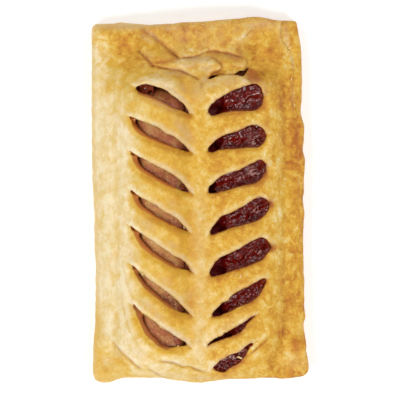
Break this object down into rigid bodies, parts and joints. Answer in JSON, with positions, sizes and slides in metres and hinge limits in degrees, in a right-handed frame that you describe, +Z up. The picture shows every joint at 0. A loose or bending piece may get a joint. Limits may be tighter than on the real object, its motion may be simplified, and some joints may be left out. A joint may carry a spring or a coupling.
{
  "type": "vegan frikandel roll",
  "caption": "Flat rectangular puff pastry roll with a herringbone slit lid over a sausage and a strip of red sauce, lying flat.",
  "frame": {"origin": "middle of the roll's box, on the surface that it rests on", "axes": "+Z up, +Y along the roll towards the end with the folded flap, +X towards the side with the sauce and the seam"},
  "size_m": [0.0872, 0.1472, 0.0302],
  "materials": {
    "pastry": "baked flaky puff pastry, pale cream to golden brown, satin where it was brushed",
    "frikandel": "smooth pink-brown sausage skin, slightly moist",
    "sauce": "thick lumpy dark red sauce, wet and glossy"
  },
  "bodies": {
    "root": {"pastry": "pastry", "frikandel": "frikandel", "sauce": "sauce"}
  },
  "joints": []
}
